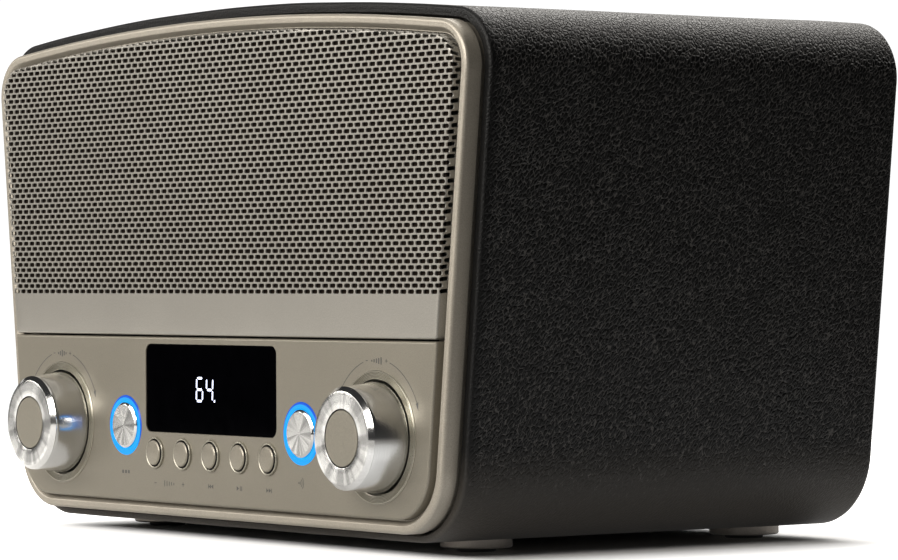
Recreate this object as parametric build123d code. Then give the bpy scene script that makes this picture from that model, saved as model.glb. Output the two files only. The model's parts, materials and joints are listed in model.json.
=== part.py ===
"""Leather-covered table radio, built from its separate pieces.

X runs along the front from left to right, Y from the front to the back, and Z is up.
The rubber pads stand on Z = 0. Depths in this file are counted from the front face of the
control panel. `save` moves every piece by PANEL_Y, so that the box around the whole radio
is centred on the origin.
"""

from build123d import *
import math
import os

# ---- cabinet outline, seen from the front -------------------------------------------------
BASE_Z = 5.3             # underside of the cabinet above the table
ARCH_TOP_Z = 209.8
ARCH_RADIUS = 1540.0
SIDE_LEAN = 0.110        # outward run of each side per mm of height
HALF_WIDTH = 169.7       # of the cabinet, at WIDTH_Z
WIDTH_Z = 151.5
TOP_CORNER = 22.0
BOTTOM_CORNER = 31.0

# ---- cabinet in depth ----------------------------------------------------------------------
LIP_Y = 9.6              # front face of the leather lip
REAR_Y = 207.1
LEATHER = 1.2
LIP_WIDTH = 4.2
WALL_INSET = 10.2        # inner face of the cabinet wall
FRONT_REBATE_Y = 15.0
FRONT_DROP = 1.4         # the front opening and all that sits in it reach this much lower
REAR_REBATE_Y = 201.8
REAR_LIP_WIDTH = 5.0
REAR_PANEL_Y = 204.8     # outer face of the back panel
FRONT_ROUND = 1.4
REAR_ROUND = 3.6

# ---- front frame and its two plates --------------------------------------------------------
FRAME_INSET = 4.8
FRAME_STEP_Y = 8.9       # behind this depth the frame's outside is stepped in
FRAME_STEP = 1.0
CREST_Y = 2.0
CREST_INSET = 7.9
SLOPE_INSET = 9.7       # the slope inside the crest ends here
SLOPE_Y = 4.0
THROAT_INSET = 10.0      # opening that the plates sit in
FLANGE_INSET = 18.0
FLANGE_Y = 7.0
FLANGE = 2.0
SPLIT_Z = 80.4           # line between the grille plate and the control plate
SPLIT_GAP = 0.7
GRILLE_INSET = 10.5
GRILLE_SHEET = 1.0
CONTROL_INSET = 10.15
CONTROL_SHEET = 2.2
PLATE_ROUND = 0.95
BOSS_INSET = 13.9
BAFFLE_Y = 20.0
BAFFLE = 9.0

# ---- controls ------------------------------------------------------------------------------
KNOB_X = 113.6
KNOB_Z = 44.2
KNOB_REACH = 16.0        # knob face in front of the panel
KNOB_FACE_R = 17.4
KNOB_EDGE_R = 19.2
KNOB_SKIRT_R = 21.0
INLAY_R = 10.5
KNOB_SEAT_Y = -14.1      # joint between a knob's skirt and its face ring
RING_R = 25.0
RING_BORE_R = 21.6
RING_FRONT_Y = -0.4
RING_GROOVES = 4
LIT_X = 63.6
LIT_CAP_R = 9.2
GLOW_R = 12.1
GLOW_BORE_R = 9.6
KEY_PITCH = 20.5
KEY_Z = 33.7
KEY_RIM_R = 6.3
KEY_CAP_R = 5.0
KEY_BORE_R = 5.5
POST_R = 1.65
POST_END_Y = 11.2
BOARD_Y = 14.0
BOARD = 1.6
WINDOW_X = -0.8
WINDOW_HALF_X = 47.3
WINDOW_LOW_Z = 42.1
WINDOW_HIGH_Z = 77.2
WINDOW_CORNER = 3.4

# ---- inside --------------------------------------------------------------------------------
SPEAKER_X = 85.0
SPEAKER_Z = 143.0
PORT_Z = 140.0
PORT_R = 19.0
PORT_FRONT_Y = 115.0
FLOOR_Z = BASE_Z + WALL_INSET
CABLE_SLOT_Z = 50.0      # slot in the baffle for the control board's cables

# ---- back ----------------------------------------------------------------------------------
INLET_X = -112.0
SWITCH_X = -82.0
JACK_X = 78.0
USB_X = 98.0
SOCKET_Z = 40.0
VENTS = 9
VENT_X = -110.0
VENT_LOW_Z = 66.0
VENT_PITCH = 5.5
ROCKER_TILT = 8.0
ANTENNA_X = 128.0
ANTENNA_Z = 178.0
ANTENNA_Y = 213.3
STAGE_RADII = [3.0, 2.5, 2.0, 1.5]
STAGE_WALL = 0.45        # leaves 0.05 mm all round between one tube and the next
ROD_LENGTH = 146.0
FORK_REACH = 3.5

# ---- feet ----------------------------------------------------------------------------------
FOOT_X = 109.5
FOOT_FRONT_Y = 48.5
FOOT_REAR_Y = 180.0
FOOT_R = 13.75
FOOT_LOW_Z = 1.6
FOOT_RECESS_Z = 3.4      # top of the recess that the pad is glued into
FOOT_SEAT_Z = 4.4        # seat of the screw's head
PAD_R = 7.5

# ---- screws --------------------------------------------------------------------------------
SCREW_HEAD_R = 2.6
SCREW_HEAD = 1.9
SCREW_SHANK_R = 1.4

PANEL_Y = (KNOB_REACH - ANTENNA_Y - FORK_REACH) / 2


# ---- helpers -------------------------------------------------------------------------------
def side_x(z, inset):
    """Half width of the cabinet at height z, `inset` inside its surface."""
    return HALF_WIDTH + SIDE_LEAN * (z - WIDTH_Z) - inset * math.hypot(1, SIDE_LEAN)


def arch_z(x, inset):
    """Height of the arched top at x, `inset` inside its surface."""
    radius = ARCH_RADIUS - inset
    return ARCH_TOP_Z - ARCH_RADIUS + math.sqrt(radius * radius - x * x)


def profile(inset, drop=0.0):
    """Front outline of the cabinet, `inset` inside the leather surface, with its base lower by `drop`."""
    low_z = BASE_Z + inset - drop
    low_x = side_x(low_z, inset)
    high_z = ARCH_TOP_Z
    for _ in range(12):
        high_z = arch_z(side_x(high_z, inset), inset)
    high_x = side_x(high_z, inset)
    outline = [
        Line((-low_x, low_z), (low_x, low_z)),
        Line((low_x, low_z), (high_x, high_z)),
        ThreePointArc((high_x, high_z), (0, ARCH_TOP_Z - inset), (-high_x, high_z)),
        Line((-high_x, high_z), (-low_x, low_z)),
    ]
    sketch = make_face(Curve() + outline)
    sketch = fillet(sketch.vertices().sort_by(Axis.Y)[:2], BOTTOM_CORNER - inset)
    return fillet(sketch.vertices().sort_by(Axis.Y)[-2:], TOP_CORNER - inset)


def slab(sketch, front, back):
    """A front-view sketch made solid from depth `front` to depth `back`."""
    return extrude(Plane.XZ.offset(-front) * sketch, amount=-(back - front))


def layer(inset, front, back, drop=0.0):
    return slab(profile(inset, drop), front, back)


def front_layer(inset, front, back):
    """A layer of the pieces that sit in the front opening."""
    return layer(inset, front, back, FRONT_DROP)


def disc(x, z, radius, front, back):
    return slab(Pos(x, z) * Circle(radius), front, back)


def plate(x, z, width, height, front, back, corner=0.0):
    shape = RectangleRounded(width, height, corner) if corner else Rectangle(width, height)
    return slab(Pos(x, z) * shape, front, back)


def turned(x, z, points):
    """A solid turned about an axis along Y, from its (radius, depth) outline."""
    outline = make_face(Polyline(*points, close=True))
    return Pos(x, 0, z) * revolve(outline, Axis.Y)


def upright(x, y, radius, low, high):
    """A cylinder that stands along Z."""
    return Pos(x, y, (low + high) / 2) * Cylinder(radius, high - low)


def box(x, y, z):
    """A block from three (low, high) pairs."""
    size = [high - low for low, high in (x, y, z)]
    middle = [(low + high) / 2 for low, high in (x, y, z)]
    return Pos(*middle) * Box(*size)


def screw(x, z, seat, length, way=1):
    """A cross-head screw. Its head is behind `seat` for way 1, and in front of it for way -1."""
    top = seat + way * SCREW_HEAD
    head = turned(x, z, [(0, seat), (SCREW_HEAD_R, seat), (SCREW_HEAD_R, seat + way * 0.9),
                         (SCREW_HEAD_R * 0.7, top), (0, top)])
    shank = disc(x, z, SCREW_SHANK_R, min(seat, seat - way * length), max(seat, seat - way * length))
    cut = (min(top, top - way * 0.8), max(top, top - way * 0.8))
    cross = plate(x, z, 3.0, 0.6, *cut) + plate(x, z, 0.6, 3.0, *cut)
    return head + shank - cross


def group(shapes):
    """Several separate solids kept in one node."""
    return Compound([solid for shape in shapes for solid in shape.solids()])


def front_edges(shape):
    return shape.faces().sort_by(Axis.Y)[0].outer_wire().edges()


def back_edges(shape):
    return shape.faces().sort_by(Axis.Y)[-1].outer_wire().edges()


# ---- cabinet -------------------------------------------------------------------------------
def cabinet_block():
    """The cabinet without its hollow: the leather is wrapped around this shape."""
    block = layer(LEATHER, LIP_Y + LEATHER, REAR_Y - LEATHER)
    block = fillet(front_edges(block), FRONT_ROUND - LEATHER)
    return fillet(back_edges(block), REAR_ROUND - LEATHER)


def cabinet_shell():
    shell = cabinet_block() - layer(WALL_INSET, 0, REAR_Y)
    shell -= front_layer(LIP_WIDTH, 0, FRONT_REBATE_Y)
    shell -= layer(REAR_LIP_WIDTH, REAR_REBATE_Y, REAR_Y)
    return shell - foot_screws() - rear_panel_screws()


def leather_wrap():
    skin = layer(0, LIP_Y, REAR_Y)
    skin = fillet(front_edges(skin), FRONT_ROUND)
    skin = fillet(back_edges(skin), REAR_ROUND)
    skin -= cabinet_block()
    skin -= front_layer(LIP_WIDTH, 0, FRONT_REBATE_Y)
    skin -= layer(REAR_LIP_WIDTH, REAR_REBATE_Y, REAR_Y + 1)
    return skin - foot_screws()


# ---- feet ----------------------------------------------------------------------------------
def foot_places():
    return [(side * FOOT_X, y) for side in (-1, 1) for y in (FOOT_FRONT_Y, FOOT_REAR_Y)]


def feet():
    made = []
    for x, y in foot_places():
        foot = upright(x, y, FOOT_R, FOOT_LOW_Z, BASE_Z)
        foot = chamfer(foot.faces().sort_by(Axis.Z)[0].edges(), 0.5)
        foot -= upright(x, y, PAD_R + 0.1, 0, FOOT_RECESS_Z)
        foot -= upright(x, y, SCREW_HEAD_R + 0.5, 0, FOOT_SEAT_Z)
        made.append(foot - upright(x, y, SCREW_SHANK_R, 0, BASE_Z + 1))
    return group(made)


def foot_pads():
    pads = [upright(x, y, PAD_R, 0, FOOT_RECESS_Z) for x, y in foot_places()]
    return group([chamfer(pad.faces().sort_by(Axis.Z)[0].edges(), 0.4) for pad in pads])


def foot_screws():
    return [upright(x, y, SCREW_HEAD_R, FOOT_RECESS_Z, FOOT_SEAT_Z)
            + upright(x, y, SCREW_SHANK_R, FOOT_SEAT_Z, 14.0)
            for x, y in foot_places()]


# ---- front frame, plates and baffle --------------------------------------------------------
def boss_places():
    sides = [(side_x(z, BOSS_INSET), z) for z in (58.0, 112.0, 168.0)]
    ends = [(62.0, BASE_Z + BOSS_INSET), (62.0, arch_z(62.0, BOSS_INSET))]
    return [(side * x, z) for side in (-1, 1) for x, z in sides + ends]


def frame_slope():
    """The space inside the crest, which narrows towards the throat."""
    lead = (SLOPE_INSET - CREST_INSET) / (SLOPE_Y - CREST_Y)
    ends = [(CREST_INSET - lead, CREST_Y - 1), (SLOPE_INSET, SLOPE_Y)]
    return loft([Plane.XZ.offset(-depth) * profile(inset, FRONT_DROP) for inset, depth in ends])


def front_frame():
    rim = front_layer(FRAME_INSET, CREST_Y, FRAME_STEP_Y)
    rim = fillet(front_edges(rim), 1.5)
    rim -= frame_slope()
    rim = fillet(rim.faces().sort_by(Axis.Y)[0].inner_wires()[0].edges(), 0.6)
    rim += front_layer(FRAME_INSET + FRAME_STEP, FRAME_STEP_Y, FRONT_REBATE_Y)
    rim -= front_layer(THROAT_INSET, 0, FRONT_REBATE_Y + 1)
    flange = front_layer(THROAT_INSET, FLANGE_Y, FLANGE_Y + FLANGE) - front_layer(FLANGE_INSET, 0, 20)
    frame = rim + flange
    for x, z in boss_places():
        frame += disc(x, z, 3.5, FLANGE_Y + FLANGE, BAFFLE_Y)
    return frame - frame_screws()


def frame_screws():
    return [screw(x, z, BAFFLE_Y + BAFFLE, 17.0) for x, z in boss_places()]


def formed_plate(inset, sheet, low_z, high_z):
    """A sheet whose edge is turned back all round, cut off between two heights."""
    height = high_z - low_z
    middle = Pos(0, (low_z + high_z) / 2)
    outer = profile(inset, FRONT_DROP) & middle * Rectangle(400, height)
    inner = profile(inset + sheet, FRONT_DROP) & middle * Rectangle(400, height - 2 * sheet)
    body = slab(outer, 0, FLANGE_Y)
    body = fillet(front_edges(body), PLATE_ROUND)
    return body - slab(inner, sheet, FLANGE_Y + 1)


def grille_plate():
    return formed_plate(GRILLE_INSET, GRILLE_SHEET, SPLIT_Z + SPLIT_GAP / 2, 300.0)


def grille_cloth():
    inset = GRILLE_INSET + GRILLE_SHEET + 0.4
    low = SPLIT_Z + 16.0
    sketch = profile(inset) & Pos(0, (low + 300) / 2) * Rectangle(400, 300 - low)
    return slab(sketch, GRILLE_SHEET + 0.2, GRILLE_SHEET + 0.8)


def control_plate():
    panel = formed_plate(CONTROL_INSET, CONTROL_SHEET, -50.0, SPLIT_Z - SPLIT_GAP / 2)
    for side in (-1, 1):
        panel -= disc(side * KNOB_X, KNOB_Z, RING_BORE_R + 1.3, -1, 3)
        panel -= disc(side * LIT_X, KNOB_Z, GLOW_R + 0.05, -1, 3)
    for x in key_places():
        panel -= disc(x, KEY_Z, KEY_RIM_R + 0.05, -1, 3)
    return panel - window_block(0.1, -1, 3)


def baffle_board():
    board = layer(WALL_INSET + 0.1, BAFFLE_Y, BAFFLE_Y + BAFFLE)
    for side in (-1, 1):
        board -= disc(side * SPEAKER_X, SPEAKER_Z, 36.5, 0, 40)
    board -= plate(0, CABLE_SLOT_Z, 60, 12, 0, 40, 5)
    return board - frame_screws() - speaker_screws()


# ---- display -------------------------------------------------------------------------------
def window_block(grow, front, back):
    height = WINDOW_HIGH_Z - WINDOW_LOW_Z + 2 * grow
    width = 2 * (WINDOW_HALF_X + grow)
    middle = (WINDOW_HIGH_Z + WINDOW_LOW_Z) / 2
    return plate(WINDOW_X, middle, width, height, front, back, WINDOW_CORNER + grow)


def display_lens():
    lens = window_block(0.0, 0.3, CONTROL_SHEET)
    return fillet(front_edges(lens), 0.3)


def display_module():
    return plate(WINDOW_X, 59.65, 97, 36.2, CONTROL_SHEET, 9.8, 2)


# ---- knobs ---------------------------------------------------------------------------------
def knob_rings():
    """Grooved rings around the knobs, each with the cup that the encoder's nut clamps."""
    outline = [(3.6, 5.2), (RING_BORE_R + 1.2, 5.2), (RING_BORE_R + 1.2, 0), (RING_R, 0)]
    outline += [(RING_R, -0.2), (RING_R - 0.2, RING_FRONT_Y)]
    width = (RING_R - RING_BORE_R - 0.9) / RING_GROOVES
    for i in range(RING_GROOVES):
        outer = RING_R - 0.6 - i * width
        outline += [(outer, RING_FRONT_Y), (outer - width * 0.5, RING_FRONT_Y + 0.18)]
    outline += [(RING_BORE_R + 0.2, RING_FRONT_Y), (RING_BORE_R, -0.2), (RING_BORE_R, 4.0), (3.6, 4.0)]
    return group([turned(side * KNOB_X, KNOB_Z, outline) for side in (-1, 1)])


def knob_shell(x):
    """Aluminium skirt of a knob, open at the front where the face ring sits."""
    skirt = [(KNOB_SKIRT_R, 1.0), (KNOB_SKIRT_R - 0.2, -1.0), (KNOB_EDGE_R + 1.0, -4.5),
             (KNOB_EDGE_R + 0.4, -9.0), (KNOB_EDGE_R, KNOB_SEAT_Y + 0.4), (KNOB_EDGE_R - 0.2, KNOB_SEAT_Y),
             (18.0, KNOB_SEAT_Y), (18.0, -1.0), (18.6, 1.0)]
    return turned(x, KNOB_Z, skirt)


def knob_face(x):
    """Turned face ring with its polished edge."""
    floor_y = KNOB_SEAT_Y - 0.7
    ring = [(KNOB_EDGE_R - 0.1, KNOB_SEAT_Y - 0.05), (KNOB_EDGE_R, KNOB_SEAT_Y - 0.2),
            (KNOB_FACE_R, -KNOB_REACH), (INLAY_R + 0.45, -KNOB_REACH), (INLAY_R + 0.2, 0.25 - KNOB_REACH),
            (INLAY_R + 0.2, floor_y), (4.0, floor_y), (4.0, KNOB_SEAT_Y - 0.05)]
    return turned(x, KNOB_Z, ring)


def knob_inlay(x):
    back_y = KNOB_SEAT_Y - 0.75
    inlay = [(0, back_y), (INLAY_R, back_y), (INLAY_R, 0.2 - KNOB_REACH), (INLAY_R - 0.25, -KNOB_REACH),
             (0, -KNOB_REACH)]
    return turned(x, KNOB_Z, inlay)


def encoder_shaft(x):
    shaft = disc(x, KNOB_Z, 3.0, -13.0, 8.2)
    return shaft - box((x - 4, x + 4), (-14, -4.5), (KNOB_Z + 2.0, KNOB_Z + 4))


def knob_core(x):
    """Moulded insert between the skirt and the encoder's shaft, with that D-shaped shaft."""
    core = [(0, -5.0), (6.5, -5.0), (6.5, -12.5), (15.5, -12.5), (15.5, 0.0), (17.9, 0.0),
            (17.9, KNOB_SEAT_Y), (0, KNOB_SEAT_Y)]
    shaft = encoder_shaft(x)
    return group([turned(x, KNOB_Z, core) - shaft, shaft])


def encoder_bodies():
    made = []
    for side in (-1, 1):
        x = side * KNOB_X
        body = plate(x, KNOB_Z, 12.4, 12.4, 7.6, BOARD_Y, 1.0) + disc(x, KNOB_Z, 3.5, -1.0, 7.6)
        made.append(body - disc(x, KNOB_Z, 3.05, -2, 8.6))
    return group(made)


def encoder_nuts():
    made = []
    for side in (-1, 1):
        hexagon = Pos(side * KNOB_X, KNOB_Z) * RegularPolygon(5.7, 6)
        made.append(slab(hexagon, 1.9, 3.9) - disc(side * KNOB_X, KNOB_Z, 3.5, 0, 5))
    return group(made)


# ---- buttons -------------------------------------------------------------------------------
def key_places():
    return [(i - 2) * KEY_PITCH for i in range(5)]


def glow_rings():
    """Translucent rings that carry light to the front around the lit buttons."""
    ring = [(GLOW_BORE_R, -0.1), (GLOW_BORE_R + 0.25, -0.35), (GLOW_R - 0.25, -0.35),
            (GLOW_R, -0.1), (GLOW_R, 4.6), (GLOW_BORE_R, 4.6)]
    return group([turned(side * LIT_X, KNOB_Z, ring) for side in (-1, 1)])


def lit_button(x):
    cap = [(0, -1.2), (8.3, -1.2), (LIT_CAP_R, -0.5), (LIT_CAP_R, 5.0), (10.6, 5.0),
           (10.6, 6.2), (POST_R, 6.2), (POST_R, POST_END_Y), (0, POST_END_Y)]
    return turned(x, KNOB_Z, cap)


def key_rims():
    rim = [(KEY_BORE_R, -0.55), (KEY_BORE_R + 0.2, -0.8), (KEY_RIM_R - 0.4, -0.8),
           (KEY_RIM_R, -0.3), (KEY_RIM_R, 3.0), (KEY_BORE_R, 3.0)]
    return group([turned(x, KEY_Z, rim) for x in key_places()])


def key_cap(x):
    cap = [(0, -1.35), (3.6, -1.3), (4.4, -1.12), (4.85, -0.75), (KEY_CAP_R, -0.2),
           (KEY_CAP_R, 3.1), (5.8, 3.1), (5.8, 4.2), (POST_R, 4.2), (POST_R, POST_END_Y),
           (0, POST_END_Y)]
    return turned(x, KEY_Z, cap)


def tact_switches():
    places = [(x, KEY_Z) for x in key_places()] + [(side * LIT_X, KNOB_Z) for side in (-1, 1)]
    made = []
    for x, z in places:
        made.append(plate(x, z, 6.2, 6.2, 10.4, BOARD_Y) - disc(x, z, POST_R + 0.1, 10, 12.7))
    return group(made)


# ---- control board -------------------------------------------------------------------------
def spacer_places():
    return [(side * x, z) for side in (-1, 1) for x, z in ((88.0, 70.0), (88.0, 26.5), (130.0, 71.0))]


def control_board():
    board = plate(0, 50.5, 272, 53, BOARD_Y, BOARD_Y + BOARD, 2)
    return board - board_screws()


def board_spacers():
    """Tubes between the control plate and its board, and posts under the main board."""
    made = []
    for x, z in spacer_places():
        tube = disc(x, z, 3.0, CONTROL_SHEET, BOARD_Y)
        made.append(tube - disc(x, z, SCREW_SHANK_R, BOARD_Y - 5.4, BOARD_Y + 1))
    for x, y in main_board_corners():
        foot = upright(x, y, 3.2, FLOOR_Z, FLOOR_Z + 6)
        made.append(foot + upright(x, y, 1.4, FLOOR_Z, FLOOR_Z + 9.5))
    return group(made)


def board_screws():
    return [screw(x, z, BOARD_Y + BOARD, 7.0) for x, z in spacer_places()]


# ---- speakers ------------------------------------------------------------------------------
def turned_pair(points):
    return [turned(side * SPEAKER_X, SPEAKER_Z, points) for side in (-1, 1)]


def speaker_baskets():
    """Steel chassis: a flange, a cone-shaped body with four windows, and a back plate."""
    outline = [(33.5, 18.2), (43.0, 18.2), (43.0, BAFFLE_Y), (36.0, BAFFLE_Y), (27.0, 43.0),
               (27.0, 45.0), (9.0, 45.0), (9.0, 43.8), (25.8, 43.8), (34.8, 19.4), (33.5, 19.4)]
    made = []
    for side in (-1, 1):
        x = side * SPEAKER_X
        basket = turned(x, SPEAKER_Z, outline)
        for turn in (0, 90):
            window = box((-60, 60), (24, 40), (-11, 11))
            basket -= Pos(x, 0, SPEAKER_Z) * (Rot(0, turn, 0) * window)
        made.append(basket - speaker_screws())
    return group(made)


def speaker_magnets():
    """Ring magnets, and the back plates whose pole pieces stand in the voice coils."""
    ring = [(8.6, 45.0), (29.0, 45.0), (30.0, 46.0), (30.0, 60.0), (29.0, 61.0), (8.6, 61.0)]
    pole = [(0, 40.0), (7.6, 40.0), (7.6, 61.0), (27.0, 61.0), (27.0, 65.0), (0, 65.0)]
    return group(turned_pair(ring) + turned_pair(pole))


def speaker_cones():
    """Paper cones, each with the voice coil former glued to its neck."""
    cone = [(29.6, 18.4), (29.6, 19.0), (9.4, 32.2), (8.5, 32.2), (8.5, 44.0), (8.1, 44.0),
            (8.1, 31.4), (9.0, 31.4)]
    return group(turned_pair(cone))


def speaker_surrounds():
    """Rubber half roll between the cone and the basket's flange."""
    steps = 8
    middle = 31.6
    outer = []
    inner = []
    for i in range(steps + 1):
        angle = math.pi * i / steps
        outer.append((middle + 2.0 * math.cos(angle), 18.2 - 2.0 * math.sin(angle)))
        inner.append((middle + 1.5 * math.cos(angle), 18.2 - 1.5 * math.sin(angle)))
    return group(turned_pair(outer + inner[::-1]))


def speaker_dust_caps():
    steps = 6
    quarter = [math.pi / 2 * i / steps for i in range(steps + 1)]
    dome = [(10.4 * math.sin(angle), 30.2 - 4.5 * math.cos(angle)) for angle in quarter]
    under = [(radius * 0.95, depth + 0.5) for radius, depth in dome]
    under[0] = (0, dome[0][1] + 0.5)
    return group(turned_pair(dome + under[::-1]))


def speaker_screw_places():
    spread = 39.5 * math.sqrt(0.5)
    return [(side * SPEAKER_X + a * spread, SPEAKER_Z + b * spread)
            for side in (-1, 1) for a in (-1, 1) for b in (-1, 1)]


def speaker_screws():
    return [screw(x, z, 18.2, 9.0, way=-1) for x, z in speaker_screw_places()]


def inner_screws():
    """The screws that hold the frame, the speakers, the control board and the feet."""
    return group(frame_screws() + speaker_screws() + board_screws() + foot_screws())


# ---- electronics ---------------------------------------------------------------------------
def transformer_core():
    core = box((-124, -76), (112, 152), (FLOOR_Z, FLOOR_Z + 40))
    for side in (-1, 1):
        x = -100 + side * 12
        core -= box((x - 6, x + 6), (100, 160), (FLOOR_Z + 8, FLOOR_Z + 32))
    return core


def transformer_coil():
    """Winding around the core's middle leg: it stands out in front of and behind the core."""
    heights = (FLOOR_Z + 8.5, FLOOR_Z + 31.5)
    coil = box((-117.5, -82.5), (104, 160), heights)
    return coil - box((-106.2, -93.8), (111.8, 152.2), heights)


def main_board():
    board = box((-56, 56), (112, 192), (FLOOR_Z + 6, FLOOR_Z + 7.6))
    for x, y in main_board_corners():
        board -= upright(x, y, 1.5, 0, 60)
    return board


def main_board_corners():
    return [(x, y) for x in (-51, 51) for y in (117, 187)]


def heat_sink():
    base_z = FLOOR_Z + 7.6
    sink = box((10, 46), (150, 176), (base_z, base_z + 4))
    for i in range(7):
        x = 10 + i * 5.6
        sink += box((x, x + 2.4), (150, 176), (base_z, base_z + 24))
    return sink


def capacitors():
    base_z = FLOOR_Z + 7.6
    made = []
    for x in (-40, -24, -8):
        can = upright(x, 165, 6.3, base_z, base_z + 25)
        made.append(fillet(can.faces().sort_by(Axis.Z)[-1].edges(), 1.0))
    return group(made)


# ---- back panel and its sockets ------------------------------------------------------------
def rear_screw_places():
    inset = REAR_LIP_WIDTH + 2.9
    sides = [(side_x(z, inset), z) for z in (48.0, 110.0, 168.0)]
    ends = [(70.0, BASE_Z + inset), (70.0, arch_z(70.0, inset))]
    return [(side * x, z) for side in (-1, 1) for x, z in sides + ends]


def rear_panel_screws():
    return [screw(x, z, REAR_PANEL_Y, 14.0) for x, z in rear_screw_places()]


def rear_screws():
    return group(rear_panel_screws())


def rear_panel():
    panel = layer(REAR_LIP_WIDTH + 0.3, REAR_REBATE_Y, REAR_PANEL_Y)
    through = (REAR_REBATE_Y - 5, REAR_PANEL_Y + 5)
    panel -= disc(0, PORT_Z, PORT_R + 2.1, *through)
    panel -= plate(INLET_X, SOCKET_Z, 22.2, 14.2, *through, 1.5)
    panel -= plate(SWITCH_X, SOCKET_Z, 13.2, 19.2, *through, 0.8)
    panel -= disc(JACK_X, SOCKET_Z, 3.6, *through)
    panel -= plate(USB_X, SOCKET_Z, 13.4, 6.0, *through, 0.6)
    panel -= disc(ANTENNA_X, ANTENNA_Z, 4.3, *through)
    for i in range(VENTS):
        panel -= plate(VENT_X, VENT_LOW_Z + i * VENT_PITCH, 44, 2.4, *through, 1.1)
    return panel - rear_panel_screws() + antenna_rest()


def bass_port():
    back = REAR_PANEL_Y
    outline = [(PORT_R + 3.0, PORT_FRONT_Y), (PORT_R + 1.0, PORT_FRONT_Y), (PORT_R, PORT_FRONT_Y + 4),
               (PORT_R, back - 4.0), (PORT_R + 1.6, back + 0.5), (PORT_R + 4.0, back + 2.2),
               (PORT_R + 8.0, back + 2.2), (PORT_R + 8.0, back + 1.4), (PORT_R + 7.0, back),
               (PORT_R + 2.0, back), (PORT_R + 2.0, PORT_FRONT_Y + 4)]
    return turned(0, PORT_Z, outline)


def mains_inlet():
    """Two-pin appliance inlet, with its pins at the bottom of the socket."""
    back = REAR_PANEL_Y
    body = plate(INLET_X, SOCKET_Z, 28, 18, back, back + 1.8, 2)
    body += plate(INLET_X, SOCKET_Z, 22, 14, back - 19, back, 1.4)
    body -= plate(INLET_X, SOCKET_Z, 16.4, 9.4, back - 15, back + 5, 4.6)
    pins = []
    for side in (-1, 1):
        pin = disc(INLET_X + side * 4.3, SOCKET_Z, 1.2, back - 15, back - 3)
        pins.append(chamfer(back_edges(pin), 0.4))
    return group([body] + pins)


def switch_housing():
    back = REAR_PANEL_Y
    body = plate(SWITCH_X, SOCKET_Z, 16, 22, back, back + 1.6, 1.2)
    body += plate(SWITCH_X, SOCKET_Z, 13, 19, back - 15, back, 0.6)
    body -= plate(SWITCH_X, SOCKET_Z, 10.6, 16.8, back - 9, back + 5, 0.4)
    for side in (-1, 1):
        body += plate(SWITCH_X, SOCKET_Z + side * 5, 4.8, 0.8, back - 23, back - 15)
    return body


def power_rocker():
    """Rocker in its off position, tipped about a pivot along X."""
    outline = [(-3.2, -2.2), (-3.2, 2.2), (1.6, 7.4), (4.6, 7.9), (3.0, 0), (4.6, -7.9), (1.6, -7.4)]
    rocker = extrude(Plane.YZ * make_face(Polyline(*outline, close=True)), amount=5.05, both=True)
    rocker = fillet(rocker.edges().filter_by(Axis.X).sort_by(Axis.Y)[-2:], 0.6)
    return Pos(SWITCH_X, REAR_PANEL_Y - 1.5, SOCKET_Z) * (Rot(-ROCKER_TILT, 0, 0) * rocker)


def audio_jack():
    back = REAR_PANEL_Y
    body = box((JACK_X - 6, JACK_X + 6), (back - 17, REAR_REBATE_Y), (SOCKET_Z - 5, SOCKET_Z + 6))
    body += disc(JACK_X, SOCKET_Z, 3.5, REAR_REBATE_Y, back + 1.6)
    return body - disc(JACK_X, SOCKET_Z, 1.8, back - 14, back + 3)


def usb_socket():
    back = REAR_PANEL_Y
    shell = plate(USB_X, SOCKET_Z, 13.2, 5.8, back - 14, back + 1.8, 0.6)
    shell -= plate(USB_X, SOCKET_Z, 12.4, 5.0, back - 12.5, back + 3, 0.3)
    return shell + plate(USB_X, SOCKET_Z + 1.05, 11.2, 1.9, back - 13, back - 1)


# ---- telescopic aerial ---------------------------------------------------------------------
def antenna_base():
    back = REAR_PANEL_Y
    rim = [(4.05, back), (9.5, back), (9.5, back + 1.4), (8.8, back + 2.4), (4.05, back + 2.4)]
    return turned(ANTENNA_X, ANTENNA_Z, rim)


def antenna_swivel():
    """Turning stem and the fork that carries the rod's elbow."""
    back = REAR_PANEL_Y
    seat = back + 4.2
    stem = [(0, back - 5.4), (4.0, back - 5.4), (4.0, back + 2.6), (7.6, back + 2.6),
            (7.6, back + 3.8), (7.2, seat), (0, seat)]
    swivel = turned(ANTENNA_X, ANTENNA_Z, stem)
    cheeks = disc(ANTENNA_X, ANTENNA_Z, 7.0, seat, ANTENNA_Y + FORK_REACH)
    keep = plate(ANTENNA_X, ANTENNA_Z, 8, 20, seat - 5, seat + 20)
    slot = plate(ANTENNA_X, ANTENNA_Z, 20, 5, seat, seat + 20)
    swivel += (cheeks & keep) - slot
    pin = upright(ANTENNA_X, ANTENNA_Y, 1.25, ANTENNA_Z - 5.4, ANTENNA_Z + 5.4)
    washer = disc(ANTENNA_X, ANTENNA_Z, 7.0, back - 4.6, back - 3.4)
    washer -= disc(ANTENNA_X, ANTENNA_Z, 4.0, back - 5, back - 3)
    return group([swivel - pin, pin, washer])


def along_rod(radius, start, end):
    """A cylinder on the rod's axis, from `start` to `end` mm away from the elbow."""
    middle = ANTENNA_X - (start + end) / 2
    return Pos(middle, ANTENNA_Y, ANTENNA_Z) * (Rot(0, 90, 0) * Cylinder(radius, end - start))


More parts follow.
